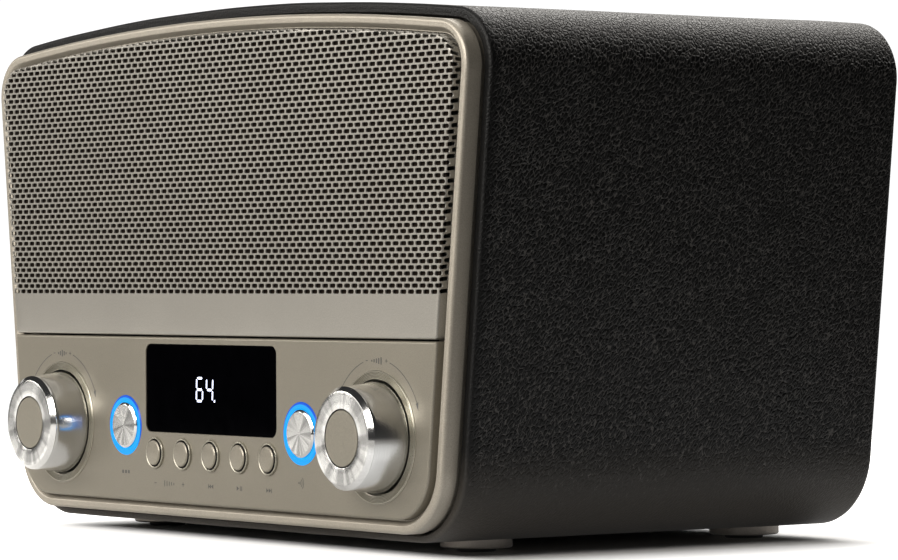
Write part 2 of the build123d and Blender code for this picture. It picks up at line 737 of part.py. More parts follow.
def antenna_rod():
    """Outer tube, with the flat lug that turns on the elbow pin."""
    lug = upright(ANTENNA_X, ANTENNA_Y, 3.9, ANTENNA_Z - 2.4, ANTENNA_Z + 2.4)
    lug += box((ANTENNA_X - 8, ANTENNA_X), (ANTENNA_Y - 2.4, ANTENNA_Y + 2.4), (ANTENNA_Z - 2.4, ANTENNA_Z + 2.4))
    rod = lug + along_rod(STAGE_RADII[0], 7.6, ROD_LENGTH)
    rod -= along_rod(STAGE_RADII[0] - STAGE_WALL, 12, ROD_LENGTH + 1)
    return rod - upright(ANTENNA_X, ANTENNA_Y, 1.3, ANTENNA_Z - 10, ANTENNA_Z + 10)


def antenna_stage(index):
    """One sliding tube of the rod, pushed in; the last one carries the tip."""
    radius = STAGE_RADII[index]
    start = 12.0 + 1.6 * index
    end = ROD_LENGTH + 1.2 * index
    tube = along_rod(radius, start, end)
    if index < len(STAGE_RADII) - 1:
        return tube - along_rod(radius - STAGE_WALL, start + 1, end + 1)
    tip = along_rod(3.1, end, end + 5.0)
    return tube + fillet(tip.faces().sort_by(Axis.X)[0].edges(), 1.2)


def antenna_rest():
    """Small shelf that the stowed rod lies on."""
    shelf = box((-16, -8), (REAR_PANEL_Y, ANTENNA_Y + 2.7), (ANTENNA_Z - 8.0, ANTENNA_Z - 3.2))
    return chamfer(shelf.edges().filter_by(Axis.X).sort_by(Axis.Y)[-2:], 1.0)


# ---- writing the pieces --------------------------------------------------------------------
def save(node, shape):
    export_step(Pos(0, PANEL_Y, 0) * shape, f"parts/{node}.step")


KEY_NAMES = ["tone_down_button", "tone_up_button", "previous_button", "play_button", "next_button"]
SINGLE_PIECES = [
    cabinet_shell, leather_wrap, feet, foot_pads, front_frame, grille_plate, grille_cloth,
    control_plate, baffle_board, display_lens, display_module, knob_rings, encoder_bodies,
    encoder_nuts, glow_rings, key_rims, tact_switches, control_board, board_spacers,
    inner_screws, speaker_baskets, speaker_magnets, speaker_cones, speaker_surrounds,
    speaker_dust_caps, transformer_core, transformer_coil, main_board, heat_sink, capacitors,
    rear_panel, rear_screws, bass_port, mains_inlet, switch_housing, power_rocker, audio_jack,
    usb_socket, antenna_base, antenna_swivel, antenna_rod,
]


def main():
    os.makedirs("parts", exist_ok=True)
    for make in SINGLE_PIECES:
        save(make.__name__, make())
    for name, x in (("bass_knob", -KNOB_X), ("volume_knob", KNOB_X)):
        save(f"{name}_shell", knob_shell(x))
        save(f"{name}_face", knob_face(x))
        save(f"{name}_inlay", knob_inlay(x))
        save(f"{name}_core", knob_core(x))
    for name, x in (("mode_button", -LIT_X), ("wireless_button", LIT_X)):
        save(name, lit_button(x))
    for name, x in zip(KEY_NAMES, key_places()):
        save(name, key_cap(x))
    for index in range(1, len(STAGE_RADII)):
        save(f"antenna_stage_{index + 1}", antenna_stage(index))


main()
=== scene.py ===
"""Looks of the leather table radio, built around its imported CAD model.

Lengths are in metres. Depths are counted from the front face of the control panel, as in the
CAD source, and PANEL_Y is added to such a depth to get a Y.
"""

import json
import math

import bpy
import bmesh
import numpy as np
from mathutils import Matrix, Vector, noise
from mathutils.geometry import delaunay_2d_cdt


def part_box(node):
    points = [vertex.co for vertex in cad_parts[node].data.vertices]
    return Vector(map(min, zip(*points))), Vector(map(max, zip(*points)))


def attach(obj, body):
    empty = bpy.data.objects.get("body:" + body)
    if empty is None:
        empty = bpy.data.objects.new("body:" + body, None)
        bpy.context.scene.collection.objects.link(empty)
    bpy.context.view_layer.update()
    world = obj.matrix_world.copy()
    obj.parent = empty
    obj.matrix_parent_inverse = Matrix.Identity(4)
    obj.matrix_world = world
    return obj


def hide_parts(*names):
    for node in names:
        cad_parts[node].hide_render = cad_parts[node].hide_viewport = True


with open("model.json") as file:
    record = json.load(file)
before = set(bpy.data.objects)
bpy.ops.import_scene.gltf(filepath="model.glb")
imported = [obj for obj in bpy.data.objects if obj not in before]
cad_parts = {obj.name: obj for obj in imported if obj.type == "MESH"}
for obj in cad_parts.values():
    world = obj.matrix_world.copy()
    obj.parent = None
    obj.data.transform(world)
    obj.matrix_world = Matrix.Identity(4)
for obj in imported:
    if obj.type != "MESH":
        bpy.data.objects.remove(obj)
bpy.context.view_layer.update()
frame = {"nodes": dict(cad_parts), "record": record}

MM = 0.001
NODES = frame["nodes"]
PANEL_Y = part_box("control_plate")[0].y

# Cabinet outline, seen from the front.
BASE_Z = 5.3 * MM
ARCH_TOP_Z = 209.8 * MM
ARCH_RADIUS = 1540 * MM
SIDE_LEAN = 0.110
HALF_WIDTH = 169.7 * MM
WIDTH_Z = 151.5 * MM
TOP_CORNER = 22 * MM
BOTTOM_CORNER = 31 * MM
ARCH_CENTRE_Z = ARCH_TOP_Z - ARCH_RADIUS
LEAN = math.atan(SIDE_LEAN)

# Leather cover: depths of its front lip and its back edge, and the rounds there.
LIP_Y = 9.6 * MM
REAR_Y = 207.1 * MM
FRONT_ROUND = 1.4 * MM
REAR_ROUND = 3.6 * MM
FRONT_DROP = 1.4 * MM       # how much lower the turned-in edge runs along the base
COVER_SHEET = 1.25 * MM

# Grille sheet.
GRILLE_LOW_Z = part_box("grille_plate")[0].z
GRILLE_INSET = 10.5 * MM
GRILLE_BEND = 0.95 * MM
GRILLE_SHEET = 0.55 * MM
GRILLE_DEPTH = 7 * MM
GRILLE_LOW_CORNER = 1.8 * MM
SLOT_ROW = 2.22 * MM
SLOT_PITCH = 4.85 * MM
SLOT_WIDTH = 3.9 * MM
SLOT_HEIGHT = 1.62 * MM
SLOT_CORNER = 0.6 * MM
FIRST_ROW_Z = 98.2 * MM
SLOT_ROWS = 48
SLOT_COLUMNS = 36           # on each side of the middle
SLOT_REACH = 4.6 * MM       # slots run this far past the flat face, round the bend


# ---- outline of the cabinet ------------------------------------------------------------------
def side_x(z, inset):
    return HALF_WIDTH + SIDE_LEAN * (z - WIDTH_Z) - inset * math.hypot(1, SIDE_LEAN)


def corner_centres(low_z, low_radius, inset):
    """Centres of the right-hand corner rounds, and the direction where the arch begins."""
    low = (side_x(low_z + low_radius, inset + low_radius), low_z + low_radius)
    x = HALF_WIDTH - TOP_CORNER
    for _ in range(20):
        z = ARCH_CENTRE_Z + math.sqrt((ARCH_RADIUS - TOP_CORNER) ** 2 - x * x)
        x = side_x(z, TOP_CORNER)
    return low, (x, z), math.atan2(z - ARCH_CENTRE_Z, x)


def spread(start, end, count):
    """Evenly spaced values from start up to, but not including, end."""
    return [start + (end - start) * i / count for i in range(count)]


def round_corner(centre, radius, angles):
    return [(centre[0] + radius * math.cos(a), centre[1] + radius * math.sin(a), a) for a in angles]


def outline_stations(low_z, low_radius, inset, corner=10, side=24, top=44, base=44):
    """Points `inset` inside the cabinet's outline, cut off at low_z with rounds of low_radius.

    Each is (x, z, outward normal). They run anticlockwise from the middle of the base.
    """
    low, high, arch_start = corner_centres(low_z, low_radius, inset)
    high_radius, arch_radius = TOP_CORNER - inset, ARCH_RADIUS - inset
    right = [(x, low_z, -math.pi / 2) for x in spread(0, low[0], base // 2)]
    right += round_corner(low, low_radius, spread(-math.pi / 2, -LEAN, corner))
    (x0, z0, _), = round_corner(low, low_radius, [-LEAN])
    (x1, z1, _), = round_corner(high, high_radius, [-LEAN])
    right += [(x0 + (x1 - x0) * t, z0 + (z1 - z0) * t, -LEAN) for t in spread(0, 1, side)]
    right += round_corner(high, high_radius, spread(-LEAN, arch_start, corner))
    right += round_corner((0, ARCH_CENTRE_Z), arch_radius, spread(arch_start, math.pi / 2, top // 2))
    left = [(-x, z, math.pi - angle) for x, z, angle in reversed(right[1:])]
    return right + [(0.0, ARCH_TOP_Z - inset, math.pi / 2)] + left


# ---- mesh building ---------------------------------------------------------------------------
def mesh_object(name, vertices, faces, smooth_angle=30):
    mesh = bpy.data.meshes.new(name)
    mesh.from_pydata([tuple(v) for v in vertices], [], [tuple(f) for f in faces])
    mesh.validate()
    tidy = bmesh.new()
    tidy.from_mesh(mesh)
    bmesh.ops.recalc_face_normals(tidy, faces=tidy.faces)
    tidy.to_mesh(mesh)
    tidy.free()
    mesh.shade_smooth()
    mesh.set_sharp_from_angle(angle=math.radians(smooth_angle))
    made = bpy.data.objects.new(name, mesh)
    bpy.context.scene.collection.objects.link(made)
    return made


def loft(name, rings, smooth_angle):
    """A closed skin over rings of the same number of points, with the last ring joined to the first."""
    count = len(rings[0])
    vertices = [point for ring in rings for point in ring]
    faces = []
    for i in range(len(rings)):
        here = i * count
        there = (i + 1) % len(rings) * count
        for j in range(count):
            k = (j + 1) % count
            faces.append((here + j, here + k, there + k, there + j))
    return mesh_object(name, vertices, faces, smooth_angle)


def turned(name, x, z, outline, steps=128, smooth_angle=22):
    """A solid turned about an axis along Y from its (radius, depth) outline, in mm."""
    angles = [2 * math.pi * i / steps for i in range(steps)]
    rings = []
    for radius, depth in outline:
        y = PANEL_Y + depth * MM
        rings.append([(x + radius * MM * math.cos(a), y, z + radius * MM * math.sin(a)) for a in angles])
    return loft(name, rings, smooth_angle)


def second_finish(made, material, beyond=0.0, within=math.inf):
    """Another material on the faces of a turned piece between two radii, in mm."""
    made.data.materials.append(material)
    low, high = Vector(made.bound_box[0]), Vector(made.bound_box[6])
    middle = (low + high) / 2
    for polygon in made.data.polygons:
        at = polygon.center
        if beyond < math.hypot(at.x - middle.x, at.z - middle.z) / MM < within:
            polygon.material_index = len(made.data.materials) - 1


def piece(made, body, slot, material, *stands_for):
    """Gives a new piece its body and material, and hides the CAD nodes that it stands for; its slot is not
    used.
    """
    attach(made, body)
    made.data.materials.clear()
    made.data.materials.append(material)
    if stands_for:
        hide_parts(*stands_for)
    return made


# ---- materials -------------------------------------------------------------------------------
class Nodes:
    """A short way to write a node tree."""

    def __init__(self, name):
        self.material = bpy.data.materials.new(name)
        self.material.use_nodes = True
        self.tree = self.material.node_tree
        self.shader = self.tree.nodes["Principled BSDF"]

    def add(self, kind, **settings):
        node = self.tree.nodes.new(kind)
        for key, value in settings.items():
            setattr(node, key, value)
        return node

    def link(self, source, target):
        self.tree.links.new(source, target)

    def set(self, **values):
        for key, value in values.items():
            self.shader.inputs[key.replace("_", " ")].default_value = value

    def feed(self, socket, value):
        """Sets a socket to a value, or links it to another socket."""
        if isinstance(value, (int, float, tuple)):
            socket.default_value = value
        else:
            self.link(value, socket)

    def point(self):
        return self.add("ShaderNodeTexCoord").outputs["Object"]

    def place(self, scale=(1, 1, 1)):
        """Object coordinates, stretched by scale."""
        mapping = self.add("ShaderNodeMapping")
        mapping.inputs["Scale"].default_value = scale
        self.link(self.point(), mapping.inputs["Vector"])
        return mapping.outputs["Vector"]

    def axis(self, vector, name):
        """One component of a vector."""
        split = self.add("ShaderNodeSeparateXYZ")
        self.link(vector, split.inputs[0])
        return split.outputs[name]

    def vector(self, operation, *values):
        node = self.add("ShaderNodeVectorMath", operation=operation)
        for socket, value in zip(node.inputs, values):
            self.feed(socket, value)
        return node.outputs[0]

    def length(self, vector):
        node = self.add("ShaderNodeVectorMath", operation="LENGTH")
        self.link(vector, node.inputs[0])
        return node.outputs["Value"]

    def scaled(self, colour, factor):
        node = self.add("ShaderNodeVectorMath", operation="SCALE")
        self.feed(node.inputs[0], colour)
        self.link(factor, node.inputs["Scale"])
        return node.outputs[0]

    def lathe_marks(self, distance, pitch, detail=2.0):
        """Noise that changes with a distance only."""
        node = self.add("ShaderNodeTexNoise", noise_dimensions="1D")
        node.inputs["Scale"].default_value = 1 / pitch
        node.inputs["Detail"].default_value = detail
        self.link(distance, node.inputs["W"])
        return node.outputs["Fac"]

    def turned_tangent(self):
        """Draws highlights out round an axis along Y."""
        tangent = self.add("ShaderNodeTangent", direction_type="RADIAL", axis="Y")
        self.link(tangent.outputs[0], self.shader.inputs["Tangent"])

    def noise(self, vector, scale, detail=3.0, roughness=0.5):
        node = self.add("ShaderNodeTexNoise")
        node.inputs["Scale"].default_value = scale
        node.inputs["Detail"].default_value = detail
        node.inputs["Roughness"].default_value = roughness
        self.link(vector, node.inputs["Vector"])
        return node.outputs["Fac"]

    def math(self, operation, first, second=0.5, third=0.5):
        node = self.add("ShaderNodeMath", operation=operation)
        for socket, value in zip(node.inputs, (first, second, third)):
            self.feed(socket, value)
        return node.outputs[0]

    def ramp(self, factor, stops):
        node = self.add("ShaderNodeValToRGB")
        elements = node.color_ramp.elements
        while len(elements) < len(stops):
            elements.new(0.5)
        for element, (position, colour) in zip(elements, stops):
            element.position = position
            element.color = (*colour, 1)
        self.link(factor, node.inputs["Fac"])
        return node.outputs["Color"]

    def span(self, factor, low, high, source=(0.0, 1.0)):
        node = self.add("ShaderNodeMapRange")
        node.inputs["From Min"].default_value = source[0]
        node.inputs["From Max"].default_value = source[1]
        node.inputs["To Min"].default_value = low
        node.inputs["To Max"].default_value = high
        self.link(factor, node.inputs["Value"])
        return node.outputs["Result"]

    def bump(self, height, distance, strength=1.0, under=None):
        node = self.add("ShaderNodeBump")
        node.inputs["Distance"].default_value = distance
        node.inputs["Strength"].default_value = strength
        self.link(height, node.inputs["Height"])
        if under is not None:
            self.link(under, node.inputs["Normal"])
        return node.outputs["Normal"]

    def finish(self, colour=None, roughness=None, normal=None):
        for socket, name in ((colour, "Base Color"), (roughness, "Roughness"), (normal, "Normal")):
            if socket is not None:
                self.link(socket, self.shader.inputs[name])
        return self.material


def grey(value):
    return (value, value, value)


def darker(colour, factor):
    return tuple(factor * c for c in colour)


def leaning_net(n, where, cell):
    """Relief of leather: 0 in its creases, near 1 on its pebbles, which are drawn out one way."""
    warp = n.add("ShaderNodeTexNoise")
    warp.inputs["Scale"].default_value = 420
    warp.inputs["Detail"].default_value = 1
    n.link(where, warp.inputs["Vector"])
    drawn = n.add("ShaderNodeMapping", vector_type="TEXTURE")
    drawn.inputs["Rotation"].default_value = (math.radians(-34), math.radians(12), 0)
    drawn.inputs["Scale"].default_value = (1.0, 0.72, 1.5)
    n.link(n.vector("MULTIPLY_ADD", warp.outputs["Color"], (0.3 * MM,) * 3, where), drawn.inputs["Vector"])
    cells = n.add("ShaderNodeTexVoronoi", feature="DISTANCE_TO_EDGE")
    cells.inputs["Scale"].default_value = 1 / cell
    n.link(drawn.outputs["Vector"], cells.inputs["Vector"])
    pebbles = n.math("SMOOTH_MIN", n.math("MULTIPLY", cells.outputs["Distance"], 4.5), 0.9, 0.5)
    wrinkles = n.noise(drawn.outputs["Vector"], 0.55 / MM, 0.6)
    valleys = n.math("MULTIPLY", n.math("ABSOLUTE", n.math("SUBTRACT", wrinkles, 0.5)), 9.0)
    valleys = n.math("SMOOTH_MIN", valleys, 0.9, 0.4)
    return n.math("ADD", n.math("MULTIPLY", valleys, 0.18), n.math("MULTIPLY", pebbles, 0.82))


def leather(name, cell=1.75 * MM, depth=0.38 * MM, tone=0.0014):
    """Black coated leather with creases painted lighter as highlight, smoother where it is stretched at the
    lip and the base, and painted lighter near the base as a reflection of the floor.
    """
    n = Nodes(name)
    where = n.place()
    relief = leaning_net(n, where, cell)
    lip = PANEL_Y + LIP_Y
    at_front = n.span(n.axis(where, "Y"), 1.0, 0.0, (lip, lip + 5 * MM))
    at_base = n.span(n.axis(where, "Z"), 1.0, 0.0, (BASE_Z + 4 * MM, BASE_Z + BOTTOM_CORNER * 1.15))
    stretched = n.math("MAXIMUM", at_front, at_base)
    height = n.math("MULTIPLY", relief, n.span(n.noise(where, 36, 2), 0.7, 1.1, (0.3, 0.7)))
    height = n.math("MULTIPLY", height, n.span(stretched, 1.0, 0.25))
    swells = n.bump(n.noise(where, 16, 2), 0.5 * MM, 0.35)
    surface = n.bump(n.noise(where, 2600, 3, 0.6), 0.02 * MM, 0.5, n.bump(height, depth, 1.0, swells))
    breaks = n.span(n.noise(where, 620, 1), 0.22, -0.08, (0.38, 0.62))
    breaks = n.math("ADD", breaks, n.math("MULTIPLY", stretched, 0.35))
    # Painted highlight: the creases are coloured lighter than the pebbles, where real creases would catch the
    # light.
    painted_crease_highlight = (0.058, 0.055, 0.052)
    pebble = (tone, tone * 0.95, tone * 0.9)
    colour = n.ramp(n.math("ADD", relief, breaks),
                    [(0.0, painted_crease_highlight), (0.13, painted_crease_highlight), (0.38, grey(tone)), (1.0, pebble)])
    # Painted reflection: the colour is lifted on the round along the base, where the floor would be
    # reflected.
    painted_floor_reflection = (0.042, 0.037, 0.031)
    colour = n.vector("MULTIPLY_ADD", at_base, painted_floor_reflection, colour)
    n.set(Specular_IOR_Level=0.2)
    return n.finish(colour, n.span(height, 0.50, 0.36, (0.1, 1.0)), surface)


def metallic_paint(name, colour, metallic=0.55, roughness=0.42, fleck=0.12, relief=0.02 * MM):
    """Satin metallic paint: fine flecks, a faint orange peel and slow changes of tone."""
    n = Nodes(name)
    where = n.place()
    flecks = n.noise(where, 2300, 3, 0.85)
    cloud = n.noise(where, 26, 3)
    tone = n.math("ADD", n.span(flecks, 1 - 2.2 * fleck, 1 + 2.2 * fleck, (0.25, 0.75)),
                  n.span(cloud, -0.03, 0.03, (0.3, 0.7)))
    peel = n.bump(n.noise(where, 900, 2), relief, 0.5)
    surface = n.bump(flecks, relief * 0.6, 0.6, peel)
    rough = n.span(flecks, roughness - 0.06, roughness + 0.06, (0.3, 0.7))
    n.set(Metallic=metallic)
    return n.finish(n.scaled(colour, tone), rough, surface)


def beside_axis(n, centre):
    """The vector to a point from an axis along Y through `centre`."""
    return n.vector("MULTIPLY", n.vector("SUBTRACT", n.point(), centre), (1, 0, 1))


def from_axis(n, centre):
    return n.length(beside_axis(n, centre))


def grooved_paint(name, centre, colour, outer, pitch):
    """Metallic paint on a ring, with painted shade darker in the bottoms of its turned grooves and painted
    highlight lighter between them.
    """
    n = Nodes(name)
    turn = n.math("MULTIPLY", n.math("SUBTRACT", outer, from_axis(n, centre)), 2 * math.pi / pitch)
    # Painted shade and highlight: the colour follows the turned grooves, darker in their bottoms.
    groove_shade = n.span(n.math("SINE", turn), 1.3, 0.35, (-1.0, 1.0))
    flecks = n.noise(n.place(), 2300, 3, 0.85)
    tone = n.math("MULTIPLY", groove_shade, n.span(flecks, 0.85, 1.15, (0.25, 0.75)))
    rough = n.span(flecks, 0.26, 0.34, (0.3, 0.7))
    n.set(Metallic=0.8)
    return n.finish(n.scaled(colour, tone), rough, n.bump(flecks, 0.01 * MM, 0.5))


def spun_metal(name, centre, roughness=0.24):
    """Metal faced on a lathe: fine rings about its axis, with fans of painted reflection, lighter and darker,
    across them.
    """
    n = Nodes(name)
    n.turned_tangent()
    n.set(Metallic=1.0, Anisotropic=0.78, Anisotropic_Rotation=0.25)
    rings = n.lathe_marks(from_axis(n, centre), 0.16 * MM, 3)
    way = n.vector("NORMALIZE", beside_axis(n, centre))
    # Painted reflection: fans of lighter and darker tone round the axis, like the fans a spun face reflects.
    painted_fans = n.span(n.noise(way, 2.3, 2.0, 0.6), 0.55, 1.0, (0.41, 0.55))
    tone = n.math("MULTIPLY", painted_fans, n.span(rings, 0.97, 1.0, (0.3, 0.7)))
    rough = n.span(rings, roughness - 0.02, roughness + 0.02, (0.3, 0.7))
    return n.finish(n.scaled((0.95, 0.95, 0.935), tone), rough, n.bump(rings, 0.0006 * MM, 0.5))


def satin_skirt(name):
    """Blasted and brushed aluminium on a knob's side."""
    n = Nodes(name)
    n.turned_tangent()
    n.set(Metallic=1.0, Anisotropic=0.3)
    rings = n.lathe_marks(n.axis(n.place(), "Y"), 0.3 * MM)
    blast = n.noise(n.place(), 3000, 2)
    shade = n.ramp(rings, [(0.3, (0.60, 0.60, 0.59)), (0.7, (0.68, 0.68, 0.67))])
    return n.finish(shade, n.span(blast, 0.13, 0.21, (0.3, 0.7)), n.bump(blast, 0.01 * MM, 0.4))


def plastic(name, colour, roughness=0.5, relief=0.03 * MM, grain=1400, spread_of_tone=0.12):
    """Moulded plastic or rubber with a fine spark-eroded texture."""
    n = Nodes(name)
    where = n.place()
    fine = n.noise(where, grain, 3, 0.6)
    cloud = n.noise(where, 40, 2)
    tone = n.math("ADD", n.span(fine, 1 - spread_of_tone, 1 + spread_of_tone, (0.3, 0.7)),
                  n.span(cloud, -0.05, 0.05, (0.3, 0.7)))
    rough = n.span(cloud, roughness - 0.05, roughness + 0.05, (0.3, 0.7))
    return n.finish(n.scaled(colour, tone), rough, n.bump(fine, relief, 0.5))


def metal(name, colour, roughness=0.3, scratch=(1, 1, 1), relief=0.01 * MM):
    """Plain metal with fine drawn lines along the axis that `scratch` stretches."""
    n = Nodes(name)
    where = n.place(scratch)
    lines = n.noise(where, 1500, 3, 0.6)
    cloud = n.noise(n.place(), 60, 3)
    n.set(Metallic=1.0)
    shade = n.ramp(lines, [(0.3, darker(colour, 0.86)), (0.7, colour)])
    rough = n.span(cloud, roughness - 0.06, roughness + 0.06, (0.3, 0.7))
    return n.finish(shade, rough, n.bump(lines, relief, 0.5))


def cloth(name, colour, pitch=0.5 * MM):
    """Plain woven acoustic cloth."""
    n = Nodes(name)
    where = n.place()
    across = n.math("SINE", n.math("MULTIPLY", n.axis(where, "X"), 2 * math.pi / pitch))
    along = n.math("SINE", n.math("MULTIPLY", n.axis(where, "Z"), 2 * math.pi / pitch))
    weave = n.math("MULTIPLY_ADD", n.math("MULTIPLY", across, along), 0.5, 0.5)
    shade = n.ramp(weave, [(0.0, darker(colour, 0.4)), (1.0, colour)])
    n.set(Specular_IOR_Level=0.1)
    return n.finish(shade, n.span(weave, 0.95, 0.8), n.bump(weave, 0.1 * MM, 0.6))


def board_material(name, colour):
    """Glass-fibre board: solder mask with the shadow of copper tracks beneath it."""
    n = Nodes(name)
    where = n.place()
    weave = n.add("ShaderNodeTexBrick")
    weave.inputs["Scale"].default_value = 160
    n.link(where, weave.inputs["Vector"])
    tracks = weave.outputs["Fac"]
    lit = tuple(1.5 * c for c in colour)
    shade = n.ramp(tracks, [(0.0, colour), (1.0, lit)])
    return n.finish(shade, n.span(n.noise(where, 90), 0.3, 0.42), n.bump(tracks, 0.03 * MM, 0.5))


def wood(name, colour):
    """Fibreboard: short fibres in a warm mat."""
    n = Nodes(name)
    fibres = n.noise(n.place((1, 6, 6)), 320, 4, 0.6)
    shade = n.ramp(fibres, [(0.3, darker(colour, 0.7)), (0.7, colour)])
    return n.finish(shade, n.span(fibres, 0.75, 0.9), n.bump(fibres, 0.05 * MM, 0.6))


def winding(name, colour, pitch=0.6 * MM):
    """Copper wire wound in layers."""
    n = Nodes(name)
    turns = n.math("SINE", n.math("MULTIPLY", n.axis(n.place(), "Z"), 2 * math.pi / pitch))
    n.set(Metallic=0.8)
    shade = n.ramp(turns, [(0.0, darker(colour, 0.4)), (1.0, colour)])
    return n.finish(shade, n.span(turns, 0.45, 0.3), n.bump(turns, 0.1 * MM, 0.7))


def glass(name):
    """Polished black window with a trace of haze."""
    n = Nodes(name)
    haze = n.noise(n.place(), 120, 3)
    shade = n.ramp(haze, [(0.3, (0.0004, 0.0004, 0.0006)), (0.7, (0.0006, 0.0006, 0.0009))])
    n.set(Specular_IOR_Level=0.1, IOR=1.1)
    return n.finish(shade, n.span(haze, 0.05, 0.09, (0.3, 0.7)))


def glow(name, rim, inner, strength, centre, reach):
    """Light guide: bright near its inner edge and low down, deeper in colour towards its rim and top."""
    n = Nodes(name)
    across = n.span(from_axis(n, centre), 0.0, 1.0, reach)
    up = n.span(n.axis(n.place(), "Z"), -0.25, 0.2, (centre[2] - reach[1], centre[2] + reach[1]))
    inner_to = 0.8
    rim_from = 0.8275862
    shade = n.ramp(n.math("ADD", across, up), [(0.0, inner), (inner_to, inner), (rim_from, rim)])
    n.link(shade, n.shader.inputs["Emission Color"])
    n.set(Emission_Strength=strength, Specular_IOR_Level=0.3)
    base = n.ramp(across, [(0.0, (0.0, 0.02, 0.05)), (1.0, (0.0, 0.01, 0.03))])
    return n.finish(base, n.span(n.noise(n.place(), 300), 0.2, 0.3))


def light_bar(name, colour, strength):
    n = Nodes(name)
    shade = n.ramp(n.noise(n.place(), 900), [(0.3, darker(colour, 0.92)), (0.7, colour)])
    n.link(shade, n.shader.inputs["Emission Color"])
    n.set(Emission_Strength=strength)
    return n.finish(shade)


# ---- grille sheet ----------------------------------------------------------------------------
def grille_stations():
    """Edge of the sheet's flat face."""
    low_radius = GRILLE_LOW_CORNER - GRILLE_BEND
    return outline_stations(GRILLE_LOW_Z + GRILLE_BEND, low_radius, GRILLE_INSET + GRILLE_BEND)


def beyond_edge(points):
    """How far each (x, z) point lies beyond the flat face's edge, and the direction outward there."""
    inset = GRILLE_INSET + GRILLE_BEND
    low_z = GRILLE_LOW_Z + GRILLE_BEND
    low_radius = GRILLE_LOW_CORNER - GRILLE_BEND
    high_radius = TOP_CORNER - inset
    low, high, arch_start = corner_centres(low_z, low_radius, inset)
    side = np.sign(points[:, 0])
    x, z = np.abs(points[:, 0]), points[:, 1]
    from_arch = np.stack([x, z - ARCH_CENTRE_Z], 1)
    arch_reach = np.linalg.norm(from_arch, axis=1)
    beside = (x - side_x(z, inset)) * math.cos(LEAN)
    reach = np.stack([beside, arch_reach - (ARCH_RADIUS - inset), low_z - z])
    lean_way = np.array([math.cos(LEAN), -math.sin(LEAN)])
    ways = np.stack([np.broadcast_to(lean_way, points.shape), from_arch / arch_reach[:, None],
                     np.broadcast_to(np.array([0.0, -1.0]), points.shape)])
    best = reach.argmax(0)
    distance = reach.max(0)
    way = ways[best, np.arange(len(points))].copy()
    corners = ((low, low_radius, -math.pi / 2, -LEAN), (high, high_radius, -LEAN, arch_start))
    for centre, radius, start, end in corners:
        offset = np.stack([x - centre[0], z - centre[1]], 1)
        angle = np.arctan2(offset[:, 1], offset[:, 0])
        inside = (angle > start) & (angle < end) & (x > centre[0] - radius)
        length = np.maximum(np.linalg.norm(offset, axis=1), 1e-9)
        distance[inside] = length[inside] - radius
        way[inside] = (offset / length[:, None])[inside]
    way[:, 0] *= np.where(side == 0, 1, side)
    return distance, way


def folded(points, thickness):
    """Places flat sheet points on the bent sheet, `thickness` below its outer face."""
    distance, way = beyond_edge(points)
    beyond = np.maximum(distance, 0)
    quarter = GRILLE_BEND * math.pi / 2
    angle = np.minimum(beyond, quarter) / GRILLE_BEND
    radius = GRILLE_BEND - thickness
    across = radius * np.sin(angle)
    depth = thickness + radius * (1 - np.cos(angle)) + np.maximum(beyond - quarter, 0)
    flat = points + way * (across - beyond)[:, None]
    return np.stack([flat[:, 0], PANEL_Y + depth, flat[:, 1]], 1)


def slot_centre(row, column):
    return (column + 0.5 * (row % 2)) * SLOT_PITCH, FIRST_ROW_Z + row * SLOT_ROW


def slot_outline():
    points = []
    for sx, sz, start in ((1, -1, -90), (1, 1, 0), (-1, 1, 90), (-1, -1, 180)):
        for step in range(3):
            angle = math.radians(start + 45 * step)
            points.append((sx * (SLOT_WIDTH / 2 - SLOT_CORNER) + SLOT_CORNER * math.cos(angle),
                           sz * (SLOT_HEIGHT / 2 - SLOT_CORNER) + SLOT_CORNER * math.sin(angle)))
    return points


def sheet_layout():
    """Outlines of the flat sheet: its edge, its bend in steps, and its slots. Also the slots' places."""
    quarter = GRILLE_BEND * math.pi / 2
    bend_steps = 5
    reaches = [quarter * i / bend_steps for i in range(bend_steps + 1)]
    reaches.append(quarter + GRILLE_DEPTH - GRILLE_BEND)
    stations = grille_stations()
    outlines = []
    for reach in reaches:
        outlines.append([(x + reach * math.cos(a), z + reach * math.sin(a)) for x, z, a in stations])
    places = [(row, column) for row in range(SLOT_ROWS) for column in range(-SLOT_COLUMNS, SLOT_COLUMNS + 1)]
    centres = np.array([slot_centre(*place) for place in places])
    used = {place for place, reach in zip(places, beyond_edge(centres)[0]) if reach < SLOT_REACH}
    shape = slot_outline()
    for row, column in sorted(used):
        x, z = slot_centre(row, column)
        outlines.append([(x + dx, z + dz) for dx, dz in shape])
    return outlines, used


def in_a_slot(places, used):
    """Which (x, z) points lie in one of the slots that the sheet has."""
    x, z = places[:, 0], places[:, 1]
    row = np.rint((z - FIRST_ROW_Z) / SLOT_ROW).astype(int)
    column = np.rint(x / SLOT_PITCH - 0.5 * (row % 2)).astype(int)
    dx = np.abs(x - (column + 0.5 * (row % 2)) * SLOT_PITCH)
    dz = np.abs(z - (FIRST_ROW_Z + row * SLOT_ROW))
    corner_x = np.maximum(dx - (SLOT_WIDTH / 2 - SLOT_CORNER), 0)
    corner_z = np.maximum(dz - (SLOT_HEIGHT / 2 - SLOT_CORNER), 0)
    rounded_off = 0.98
    within = np.hypot(corner_x, corner_z) < SLOT_CORNER * rounded_off
    return within & np.array([place in used for place in zip(row.tolist(), column.tolist())])


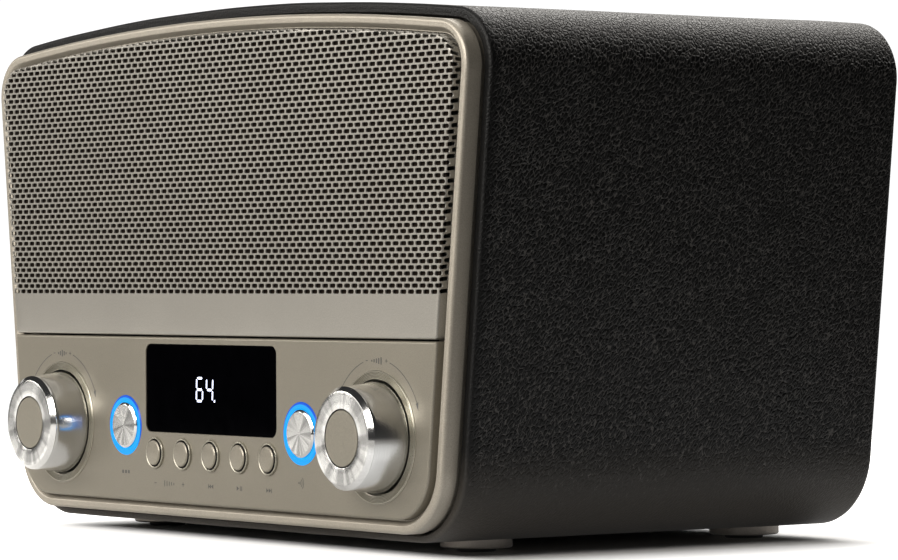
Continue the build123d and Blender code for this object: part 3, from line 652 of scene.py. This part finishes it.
def perforated_sheet():
    """Sheet with staggered slots that run on round its bent edge."""
    outlines, used = sheet_layout()
    points, edges = [], []
    for outline in outlines:
        start, count = len(points), len(outline)
        points += outline
        edges += [(start + i, start + (i + 1) % count) for i in range(count)]
    scaled = [Vector((x / MM, z / MM)) for x, z in points]
    found, _, triangles = delaunay_2d_cdt(scaled, edges, [], 0, 1e-4)[:3]
    flat = np.array([(p.x, p.y) for p in found]) * MM
    triangles = np.array([t for t in triangles if len(t) == 3])
    solid = triangles[~in_a_slot(flat[triangles].mean(1), used)].tolist()
    sides = dict.fromkeys(edge for a, b, c in solid for edge in ((a, b), (b, c), (c, a)))
    rims = [(a, b) for a, b in sides if (b, a) not in sides]
    count = len(flat)
    faces = [tuple(t) for t in solid]
    faces += [(c + count, b + count, a + count) for a, b, c in solid]
    faces += [(b, a, a + count, b + count) for a, b in rims]
    vertices = np.concatenate([folded(flat, 0.0), folded(flat, GRILLE_SHEET)])
    return mesh_object("perforated_grille", vertices, faces, smooth_angle=32)


# ---- leather ---------------------------------------------------------------------------------
def cover_section():
    """The cover's section as (inset, depth, whether it follows the lower outline of the turned-in edge)."""
    turned_in = 4.33 * MM
    hidden_edge = 14.9 * MM
    fold = 0.5 * MM
    rear_in = 5.1 * MM
    rear_hidden = REAR_Y - 5.2 * MM
    inner_front, inner_rear = LIP_Y + COVER_SHEET, REAR_Y - COVER_SHEET
    quarter = [math.pi / 2 * i / 6 for i in range(7)]
    steps = 90
    run = REAR_Y - REAR_ROUND - LIP_Y - FRONT_ROUND
    section = [(turned_in, hidden_edge, True), (turned_in, LIP_Y + fold, True)]
    for a in (0.5, 1.0, 1.5):
        section.append((turned_in - fold * math.sin(a), LIP_Y + fold * (1 - math.sin(a)), True))
    section.append((2.4 * MM, LIP_Y, False))
    for a in quarter:
        section.append((FRONT_ROUND * (1 - math.sin(a)), LIP_Y + FRONT_ROUND * (1 - math.cos(a)), False))
    section += [(0.0, LIP_Y + FRONT_ROUND + run * i / steps, False) for i in range(1, steps)]
    for a in quarter:
        section.append((REAR_ROUND * (1 - math.cos(a)), REAR_Y - REAR_ROUND * (1 - math.sin(a)), False))
    section += [(4.6 * MM, REAR_Y, False), (rear_in, REAR_Y - fold, False), (rear_in, rear_hidden, False)]
    section += [(5.0 * MM, inner_rear, False), (COVER_SHEET, inner_rear, False)]
    section += [(COVER_SHEET, inner_front, False), (4.2 * MM, inner_front, True)]
    section.append((4.2 * MM, hidden_edge, True))
    return section


def leather_cover():
    """The cover, turned in round the front lip and round the back, with slight swells."""
    fineness = {"corner": 36, "side": 60, "top": 110, "base": 110}
    outer = outline_stations(BASE_Z, BOTTOM_CORNER, 0.0, **fineness)
    lower = outline_stations(BASE_Z - FRONT_DROP, BOTTOM_CORNER, 0.0, **fineness)
    swell_height = 0.16 * MM
    swells_per_metre = 26
    rings = []
    for inset, depth, dropped in cover_section():
        ring = []
        for x, z, a in lower if dropped else outer:
            out = inset
            if inset < COVER_SHEET:
                out += swell_height * (noise.noise(Vector((x, depth, z)) * swells_per_metre) + 0.4)
            ring.append((x - out * math.cos(a), PANEL_Y + depth, z - out * math.sin(a)))
        rings.append(ring)
    return loft("leather_cover", rings, smooth_angle=40)


# ---- knobs, rings and buttons ----------------------------------------------------------------
def centre_of(node):
    low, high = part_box(node)
    return (low.x + high.x) / 2, (low.z + high.z) / 2


def knob(name):
    """A satin skirt, a faced ring with a polished chamfer, and a painted inlay in a groove that is painted
    dark as shade.
    """
    x, z = centre_of(f"{name}_shell")
    seat = -14.1
    reach = -16.0
    skirt = [(21.0, 1.0), (20.95, 0.0), (20.75, -1.4), (20.45, -3.0), (20.2, -4.5), (19.95, -6.5)]
    skirt += [(19.7, -9.0), (19.5, -11.0), (19.35, -12.8), (19.25, -13.7), (19.1, seat)]
    skirt += [(18.0, seat), (18.0, -1.0), (18.6, 1.0)]
    side = satin_skirt(f"{name}_skirt_metal")
    piece(turned(f"{name}_skirt", x, z, skirt), name, "aluminium", side, f"{name}_shell")
    ring = [(19.1, seat - 0.05), (19.2, seat - 0.12), (19.2, seat - 0.25), (17.5, reach + 0.04)]
    ring += [(17.38, reach), (16.0, reach), (13.5, reach), (11.15, reach), (10.98, reach + 0.06)]
    ring.append((10.9, reach + 0.9))
    ring += [(4.0, reach + 0.9), (4.0, seat - 0.05)]
    face = turned(f"{name}_turned_face", x, z, ring)
    piece(face, name, "aluminium", spun_metal(f"{name}_face_metal", (x, 0, z)), f"{name}_face")
    second_finish(face, POLISHED, beyond=17.44)
    # The groove round the inlay is painted dark, as shade.
    second_finish(face, PAINTED_GAP_SHADE, within=10.94)
    inlay = [(0.05, reach + 0.85), (10.45, reach + 0.85), (10.45, reach + 0.22), (10.3, reach + 0.02)]
    inlay += [(10.15, reach), (7.0, reach), (0.05, reach)]
    piece(turned(f"{name}_painted_inlay", x, z, inlay), name, "champagne", PAINT_INLAY, f"{name}_inlay")


def knob_ring(name, *stands_for):
    """The ring round a knob, with turned grooves."""
    x, z = centre_of(f"{name}_shell")
    outline = [(3.6, 5.2), (22.8, 5.2), (22.8, 0.02), (25.0, 0.02), (25.0, -0.22), (24.82, -0.4)]
    outline.append((24.45, -0.42))
    grooves = 5
    width = 2.6 / grooves
    first, crest, bottom = 24.35, -0.42, -0.14
    for i in range(grooves):
        outer = first - i * width
        outline += [(outer, crest), (outer - 0.25 * width, bottom), (outer - 0.6 * width, bottom),
                    (outer - 0.8 * width, crest)]
    outline += [(21.72, -0.36), (21.62, -0.2), (21.6, 4.0), (3.6, 4.0)]
    made = turned(f"{name}_grooved_ring", x, z, outline, smooth_angle=20)
    paint = grooved_paint(f"{name}_ring_paint", (x, 0, z), (0.36, 0.34, 0.28), first * MM, width * MM)
    piece(made, "cabinet", "champagne", paint, *stands_for)


def lit_button(name):
    """The metal button inside a light ring. Gives its centre."""
    x, z = centre_of(name)
    cap = [(0.05, -1.18), (4.0, -1.2), (8.25, -1.2), (8.32, -1.17), (9.15, -0.52), (9.2, -0.4), (9.2, 5.0)]
    cap += [(10.6, 5.0), (10.6, 6.2), (1.65, 6.2), (1.65, 11.2), (0.05, 11.2)]
    made = turned(f"{name}_cap", x, z, cap, steps=96)
    piece(made, name, "button_metal", spun_metal(f"{name}_metal", (x, 0, z), roughness=0.2), name)
    second_finish(made, POLISHED, beyond=8.26)
    return x, z


def glow_ring(name, x, z, *stands_for):
    inner, outer = 9.5, 12.1
    ring = [(inner, 0.3), (inner, -0.1), (9.75, -0.32), (11.8, -0.35), (12.05, -0.1), (outer, 0.2)]
    ring += [(outer, 4.6), (inner, 4.6)]
    made = turned(f"{name}_light_ring", x, z, ring, steps=96)
    reach = (inner * MM, outer * MM)
    light = glow(f"{name}_light", (0.0, 0.09, 0.70), (0.0, 0.38, 1.0), 1.0, (x, 0, z), reach)
    piece(made, "cabinet", "light_guide", light, *stands_for)


def key(name):
    """A key with a bevelled cap and sides painted dark as shade. Gives its centre."""
    x, z = centre_of(name)
    cap = [(0.05, -1.5), (4.4, -1.5), (4.52, -1.47), (4.9, -1.17), (4.98, -1.0), (5.0, -0.7), (5.0, 3.1)]
    cap += [(5.8, 3.1), (5.8, 4.2), (1.65, 4.2), (1.65, 11.2), (0.05, 11.2)]
    made = piece(turned(f"{name}_cap", x, z, cap, steps=72), name, "key_paint", PAINT_KEY, name)
    # The cap's side wall is painted dark, as shade in the gap round the cap.
    second_finish(made, PAINTED_GAP_SHADE, beyond=4.985)
    return x, z


def key_rim(name, x, z, *stands_for):
    """The raised ring round a key, painted dark inside as shade."""
    rim = [(5.5, 2.9), (5.5, -0.5), (5.6, -0.7), (5.85, -0.86), (6.05, -0.82), (6.22, -0.62), (6.3, -0.35)]
    rim += [(6.3, 2.9)]
    made = piece(turned(f"{name}_rim", x, z, rim, steps=72), "cabinet", "champagne", PAINT_RING, *stands_for)
    # The rim's bore is painted dark, as shade.
    second_finish(made, PAINTED_GAP_SHADE, within=5.51)


# ---- marks on the panel and in the window ----------------------------------------------------
KEYS = ["tone_down_button", "tone_up_button", "previous_button", "play_button", "next_button"]
KEY_MARK_Z = 21.7 * MM
LIT_MARK_Z = 25.4 * MM
MARK_LINE = 0.32 * MM
DIGIT_HEIGHT = 9.0 * MM
DIGIT_WIDTH = 4.4 * MM
DIGIT_PITCH = 7.25 * MM
DIGIT_START_X = -10.9 * MM
DIGIT_SLANT = 0.035
SEGMENTS = {"4": "fgbc", "6": "afgedc"}


def prisms(name, polygons, front, back):
    """Flat shapes in the front view, given as (x, z) lists, made solid between two depths."""
    vertices, faces = [], []
    for polygon in polygons:
        start, count = len(vertices), len(polygon)
        vertices += [(x, PANEL_Y + front, z) for x, z in polygon]
        vertices += [(x, PANEL_Y + back, z) for x, z in polygon]
        faces.append(tuple(range(start, start + count)))
        faces.append(tuple(range(start + 2 * count - 1, start + count - 1, -1)))
        for i in range(count):
            j = (i + 1) % count
            faces.append((start + i, start + j, start + count + j, start + count + i))
    return mesh_object(name, vertices, faces)


def bar(x, z, width, height):
    return [(x - width / 2, z - height / 2), (x + width / 2, z - height / 2), (x + width / 2, z + height / 2),
            (x - width / 2, z + height / 2)]


def arc_band(x, z, radius, start, end, steps=40):
    """Quads that follow an arc, as wide as a mark's line. Angles are in degrees."""
    inner, outer = radius - MARK_LINE / 2, radius + MARK_LINE / 2
    angles = [math.radians(start + (end - start) * i / steps) for i in range(steps + 1)]
    made = []
    for a, b in zip(angles, angles[1:]):
        corners = ((inner, a), (outer, a), (outer, b), (inner, b))
        made.append([(x + r * math.cos(t), z + r * math.sin(t)) for r, t in corners])
    return made


def triangle(x, z, width, height):
    """Points to the right for a positive width."""
    return [(x - width / 2, z - height / 2), (x + width / 2, z), (x - width / 2, z + height / 2)]


def plus(x, z, size):
    return [bar(x, z, size, MARK_LINE), bar(x, z, MARK_LINE, size)]


def knob_marks(name):
    """A scale over a knob: an arc with an arrowhead, a minus, a plus, and five bars between them."""
    x, z = centre_of(f"{name}_shell")
    radius = 29 * MM
    shapes = arc_band(x, z, radius, 107, 152) + arc_band(x, z, radius, 27, 73)
    tip = math.radians(24)
    tip_x, tip_z = x + radius * math.cos(tip), z + radius * math.sin(tip)
    shapes.append([(tip_x, tip_z - 1.2 * MM), (tip_x + 0.1 * MM, tip_z + 1.9 * MM),
                   (tip_x - 1.5 * MM, tip_z + 1.2 * MM)])
    top_z = z + radius - 0.6 * MM
    shapes.append(bar(x - 6.3 * MM, top_z, 1.3 * MM, MARK_LINE))
    shapes += plus(x + 6.3 * MM, top_z, 1.5 * MM)
    for i in range(5):
        height = (0.7 + 0.5 * i) * MM if name == "volume_knob" else (2.7 - 0.9 * abs(i - 2)) * MM
        shapes.append(bar(x + (i - 2) * 1.5 * MM, top_z, 0.75 * MM, height))
    return shapes


def key_marks():
    """A minus, falling bars and a plus under the tone keys, and arrows under the other three."""
    first, second = centre_of("tone_down_button")[0], centre_of("tone_up_button")[0]
    shapes = [bar(first, KEY_MARK_Z, 1.7 * MM, MARK_LINE)] + plus(second, KEY_MARK_Z, 1.7 * MM)
    for i in range(5):
        x = (first + second) / 2 + (i - 2) * 1.7 * MM
        shapes.append(bar(x, KEY_MARK_Z, 0.5 * MM, (2.4 - 0.35 * i) * MM))
    for name, way in (("previous_button", -1), ("next_button", 1)):
        x, _ = centre_of(name)
        shapes += [triangle(x - 0.9 * MM, KEY_MARK_Z, way * 1.5 * MM, 1.7 * MM),
                   triangle(x + 0.8 * MM, KEY_MARK_Z, way * 1.5 * MM, 1.7 * MM),
                   bar(x + way * 1.85 * MM, KEY_MARK_Z, 0.4 * MM, 1.7 * MM)]
    x, _ = centre_of("play_button")
    shapes.append(triangle(x - 1.2 * MM, KEY_MARK_Z, 1.7 * MM, 1.8 * MM))
    shapes += [bar(x + aside * MM, KEY_MARK_Z, 0.45 * MM, 1.8 * MM) for aside in (0.5, 1.5)]
    return shapes


def lit_marks():
    """Three squares under the mode button, and waves from a square under the wireless one."""
    x, _ = centre_of("mode_button")
    shapes = [bar(x + (i - 1) * 2.2 * MM, LIT_MARK_Z, 1.3 * MM, 1.3 * MM) for i in range(3)]
    x, _ = centre_of("wireless_button")
    for i in range(3):
        shapes += arc_band(x - 1.5 * MM, LIT_MARK_Z, (0.9 + i * 1.0) * MM, -45, 45, steps=12)
    return shapes + [bar(x - 1.7 * MM, LIT_MARK_Z, 0.7 * MM, 0.7 * MM)]


def panel_marks():
    shapes = knob_marks("bass_knob") + knob_marks("volume_knob") + key_marks() + lit_marks()
    return prisms("panel_marks", shapes, -0.03 * MM, 0.02 * MM)


def segment(x0, z0, x1, z1):
    """A bar with pointed ends between two points. Upright bars are slimmer."""
    dx, dz = x1 - x0, z1 - z0
    length = math.hypot(dx, dz)
    ux, uz = dx / length, dz / length
    half = 0.34 * MM if abs(dz) > abs(dx) else 0.44 * MM
    gap = 0.42 * MM
    end = length - gap
    points = [(gap, 0), (gap + half, -half), (end - half, -half), (end, 0)]
    points += [(end - half, half), (gap + half, half)]
    return [(x0 + along * ux - across * uz, z0 + along * uz + across * ux) for along, across in points]


def window_digits(text):
    """Numbers of light in the window; a dot follows the last one."""
    low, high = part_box("display_lens")
    z0 = (low.z + high.z) / 2 - DIGIT_HEIGHT / 2 - 0.1 * MM
    shapes = []
    for i, letter in enumerate(text):
        x0 = DIGIT_START_X + i * DIGIT_PITCH
        x1, z1, z2 = x0 + DIGIT_WIDTH, z0 + DIGIT_HEIGHT / 2, z0 + DIGIT_HEIGHT
        lines = {"a": (x0, z2, x1, z2), "b": (x1, z1, x1, z2), "c": (x1, z0, x1, z1), "d": (x0, z0, x1, z0)}
        lines |= {"e": (x0, z0, x0, z1), "f": (x0, z1, x0, z2), "g": (x0, z1, x1, z1)}
        shapes += [segment(*lines[k]) for k in SEGMENTS[letter]]
    shapes.append(bar(x1 + 1.5 * MM, z0 + 0.1 * MM, 0.75 * MM, 0.9 * MM))
    shapes = [[(x + DIGIT_SLANT * (z - z0), z) for x, z in shape] for shape in shapes]
    return prisms("window_digits", shapes, 0.24 * MM, 0.32 * MM)


# ---- finishes --------------------------------------------------------------------------------
LEATHER = leather("pebbled_leather")
PAINT_FRAME = metallic_paint("frame_paint", (0.33, 0.30, 0.25))
PAINT_PANEL = metallic_paint("panel_paint", (0.205, 0.187, 0.15))
PAINT_GRILLE = metallic_paint("grille_paint", (0.295, 0.28, 0.25), metallic=0.6, roughness=0.38)
PAINT_RING = metallic_paint("ring_paint", (0.36, 0.34, 0.28), metallic=0.8, roughness=0.3)
PAINT_INLAY = metallic_paint("inlay_paint", (0.225, 0.207, 0.168))
PAINT_KEY = metallic_paint("key_paint_coat", (0.25, 0.228, 0.185), roughness=0.36)
POLISHED = metal("polished_chamfer", (0.86, 0.86, 0.85), roughness=0.12)
MARK_INK = plastic("mark_ink", (0.05, 0.048, 0.045), roughness=0.5)
# Near-black plastic put in gaps and grooves as painted shade.
PAINTED_GAP_SHADE = plastic("painted_gap_shade", (0.006, 0.006, 0.006), roughness=0.7)
DIGIT_LIGHT = light_bar("digit_light", (0.72, 0.78, 1.0), 2.4)

FINISHES = {
    "cabinet": wood("fibreboard", (0.020, 0.017, 0.015)),
    "baffle": wood("black_fibreboard", (0.03, 0.028, 0.026)),
    "champagne": PAINT_FRAME,
    "champagne_plate": PAINT_PANEL,
    "aluminium": metal("drawn_aluminium", (0.75, 0.75, 0.74), roughness=0.3, scratch=(0.05, 1, 1)),
    "black_plastic": plastic("black_moulding", (0.018, 0.018, 0.019)),
    "rubber": plastic("black_rubber", (0.014, 0.014, 0.014), roughness=0.75, relief=0.05 * MM),
    "window": glass("smoked_window"),
    "foot": metal("foot_coating", (0.30, 0.27, 0.24), roughness=0.4),
    "steel": metal("plated_steel", (0.58, 0.58, 0.59), roughness=0.34),
    "black_screw": metal("blackened_steel", (0.09, 0.09, 0.095), roughness=0.4),
    "brass": metal("turned_brass", (0.72, 0.52, 0.24), roughness=0.3),
    "board": board_material("board_laminate", (0.012, 0.06, 0.03)),
    "cloth": cloth("speaker_cloth", (0.016, 0.010, 0.006)),
    "cone": plastic("paper_cone", (0.05, 0.05, 0.052), roughness=0.85, relief=0.08 * MM, grain=500),
    "ferrite": plastic("ferrite_magnet", (0.06, 0.06, 0.065), roughness=0.7, relief=0.05 * MM),
    "copper": winding("copper_winding", (0.55, 0.25, 0.12)),
    "chrome": metal("chromed_tube", (0.82, 0.82, 0.83), roughness=0.1, scratch=(0.03, 1, 1)),
    "key_paint": PAINT_KEY,
}


def paint_cad_nodes():
    """The slots without a finish here are on nodes that new pieces stand for."""
    for part in frame["record"]["subparts"]:
        material = FINISHES.get("foot" if part["node"] == "feet" else part["material_slot"])
        if material is None:
            continue
        for place in NODES[part["node"]].material_slots:
            place.link = "OBJECT"
            place.material = material


# ---- the pieces ------------------------------------------------------------------------------
def build():
    paint_cad_nodes()
    piece(perforated_sheet(), "cabinet", "champagne", PAINT_GRILLE, "grille_plate")
    piece(leather_cover(), "cabinet", "leather", LEATHER, "leather_wrap")
    knob("bass_knob")
    knob("volume_knob")
    knob_ring("bass_knob", "knob_rings")
    knob_ring("volume_knob")
    glow_ring("mode_button", *lit_button("mode_button"), "glow_rings")
    glow_ring("wireless_button", *lit_button("wireless_button"))
    stands_for = ["key_rims"]       # one CAD node holds all five rims, and the first rim stands for it
    for name in KEYS:
        x, z = key(name)
        key_rim(name, x, z, *stands_for)
        stands_for = []
    piece(panel_marks(), "cabinet", "black_plastic", MARK_INK)
    piece(window_digits("64"), "cabinet", "light_guide", DIGIT_LIGHT)


build()


# ---- studio ----------------------------------------------------------------------------------
FLOOR_RADIUS = 1.15
CONTACT_CENTRE = (0.017, 0.008, 0)
CONTACT_HALF = (0.138, 0.080, 0)
SHADOW_REACH = 0.6
LENS = 167.6
CAMERA_PLACE = (1382.43 * MM, -885.36 * MM + PANEL_Y, 103.10 * MM)
CAMERA_ANGLES = (54.095, 0.026, -0.209)     # azimuth, elevation and roll, in degrees


def floor_material():
    """Pale to the camera, with a painted shadow beneath the object, where its glow fades out.

    To other rays its colour gets darker towards the right, and it glows on that side, near the object.
    """
    n = Nodes("pale_floor")
    aside = n.vector("ABSOLUTE", n.vector("SUBTRACT", n.place(), CONTACT_CENTRE))
    past = n.vector("MAXIMUM", n.vector("SUBTRACT", aside, CONTACT_HALF), (0, 0, 0))
    away = n.span(n.length(past), 0.0, 1.0, (0.0, SHADOW_REACH))
    across = n.axis(n.place(), "X")
    # Painted shadow: to the camera the floor's glow fades out towards the object.
    seen_glow_with_painted_shadow = n.ramp(away, [(0.0, grey(0.0)), (0.06, grey(0.6)), (0.12, grey(0.85)), (1.0, grey(1.0))])
    near = n.ramp(away, [(0.0, grey(0.15)), (0.04, grey(0.75)), (0.2, grey(0.5)), (0.4, grey(0.0))])
    glow_unseen = n.scaled(near, n.span(across, 0.0, 1.0, (0.08, 0.17)))
    shade_seen = n.ramp(n.noise(n.place(), 3), [(0.3, grey(0.86)), (0.7, grey(0.88))])
    shade_unseen = n.ramp(n.span(across, 0.0, 1.0, (-0.15, 0.25)), [(0.0, grey(0.85)), (1.0, grey(0.3))])
    camera_ray = n.add("ShaderNodeLightPath").outputs["Is Camera Ray"]
    pairs = ((glow_unseen, seen_glow_with_painted_shadow, "Emission Color"), (shade_unseen, shade_seen, "Base Color"))
    for unseen, seen, socket in pairs:
        mix = n.add("ShaderNodeMix", data_type="RGBA")
        n.link(camera_ray, mix.inputs["Factor"])
        first, second = [place for place in mix.inputs if place.type == "RGBA"]
        n.link(unseen, first)
        n.link(seen, second)
        n.link([place for place in mix.outputs if place.type == "RGBA"][0], n.shader.inputs[socket])
    n.set(Specular_IOR_Level=0.2, Emission_Strength=1.0)
    return n.finish(None, n.span(n.noise(n.place(), 5), 0.6, 0.7))


def studio_floor():
    """A round floor that looks as white as what is behind it, except near the object."""
    sides = 96
    angles = [2 * math.pi * i / sides for i in range(sides)]
    rim = [(FLOOR_RADIUS * math.cos(a), FLOOR_RADIUS * math.sin(a), 0) for a in angles]
    mesh = bpy.data.meshes.new("studio_floor")
    mesh.from_pydata(rim, [], [range(sides)])
    floor = bpy.data.objects.new("studio_floor", mesh)
    bpy.context.scene.collection.objects.link(floor)
    mesh.materials.append(floor_material())


def softbox(name, place, target, size, power, colour=(1.0, 0.965, 0.915)):
    """An area lamp of so many watts, which the camera doesn't see."""
    data = bpy.data.lights.new(name, "AREA")
    data.shape = "RECTANGLE"
    data.size, data.size_y = size
    data.energy = power
    data.color = colour
    lamp = bpy.data.objects.new(name, data)
    bpy.context.scene.collection.objects.link(lamp)
    lamp.location = place
    lamp.visible_camera = False
    lamp.rotation_euler = (Vector(target) - Vector(place)).to_track_quat("-Z", "Y").to_euler()


def world_light():
    """White behind the object, and a dim room in its reflections."""
    world = bpy.data.worlds.new("studio")
    bpy.context.scene.world = world
    world.use_nodes = True
    tree = world.node_tree
    background = tree.nodes["Background"]
    sight = tree.nodes.new("ShaderNodeLightPath")
    level = tree.nodes.new("ShaderNodeMapRange")
    level.inputs["To Min"].default_value = 0.03
    level.inputs["To Max"].default_value = 1.1
    tree.links.new(sight.outputs["Is Camera Ray"], level.inputs["Value"])
    tree.links.new(level.outputs["Result"], background.inputs["Strength"])
    background.inputs["Color"].default_value = (1, 1, 1, 1)


def studio_camera():
    data = bpy.data.cameras.new("camera")
    data.lens = LENS
    data.sensor_width = 36
    data.clip_start = 0.05
    camera = bpy.data.objects.new("camera", data)
    bpy.context.scene.collection.objects.link(camera)
    azimuth, elevation, roll = (math.radians(a) for a in CAMERA_ANGLES)
    level = math.cos(elevation)
    forward = Vector((-math.sin(azimuth) * level, math.cos(azimuth) * level, -math.sin(elevation)))
    turn = forward.to_track_quat("-Z", "Y").to_matrix().to_4x4()
    camera.matrix_world = Matrix.Translation(CAMERA_PLACE) @ turn @ Matrix.Rotation(roll, 4, "Z")
    bpy.context.scene.camera = camera


studio_floor()
world_light()
softbox("top_box", (-0.2, 0.1, 1.5), (0, 0.05, 0.1), (1.4, 1.4), 9)
softbox("front_box", (-0.55, -1.6, 0.9), (0, -0.1, 0.1), (1.2, 1.0), 21)
softbox("front_right_box", (0.55, -1.6, 0.9), (0, -0.1, 0.1), (0.7, 0.8), 24)
softbox("low_box", (-0.2, -1.8, 0.45), (0, -0.1, 0.1), (1.2, 0.7), 3)
softbox("left_box", (-1.7, -1.25, 0.85), (0, -0.1, 0.1), (0.8, 0.8), 10)
softbox("back_box", (-0.45, 1.1, 1.2), (0, 0.1, 0.15), (1.6, 0.8), 20)
softbox("far_box", (-1.3, 1.0, 0.75), (0, 0.1, 0.15), (1.8, 1.0), 4)
studio_camera()
bpy.context.scene.view_settings.view_transform = "Standard"
